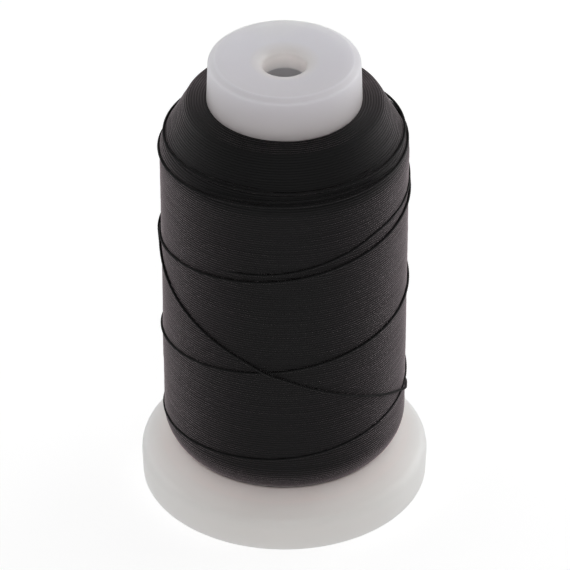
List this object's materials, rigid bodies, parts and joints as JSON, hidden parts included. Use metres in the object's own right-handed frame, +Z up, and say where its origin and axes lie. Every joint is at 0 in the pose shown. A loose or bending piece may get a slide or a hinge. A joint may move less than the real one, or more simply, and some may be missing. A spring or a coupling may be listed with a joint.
{
  "type": "spool of thread",
  "caption": "Small upright spool of dark thread on a hollow white plastic barrel, with a wide foot that snaps open to hold the thread's end and a trumpet-mouthed hole for a spindle.",
  "frame": {"origin": "on the spool's axis, at the level of the surface that the foot stands on", "axes": "+Z up along the spool's axis, from the foot to the collar; -Y is the side where the lowest open wrap faces the viewer"},
  "size_m": [0.0388, 0.0388, 0.0667],
  "materials": {
    "foot_plastic": "satin, milky translucent moulding",
    "barrel_plastic": "satin, milky translucent moulding",
    "thread": "black twisted thread with a soft sheen"
  },
  "bodies": {
    "foot": {"snap_base": "foot_plastic"},
    "barrel": {"spool_barrel": "barrel_plastic", "thread_winding": "thread", "last_wraps": "thread"}
  },
  "joints": [
    {"name": "snap_open", "type": "slide", "parent": "foot", "child": "barrel", "axis": [0, 0, 1], "range_m": [0, 0.0026]}
  ]
}
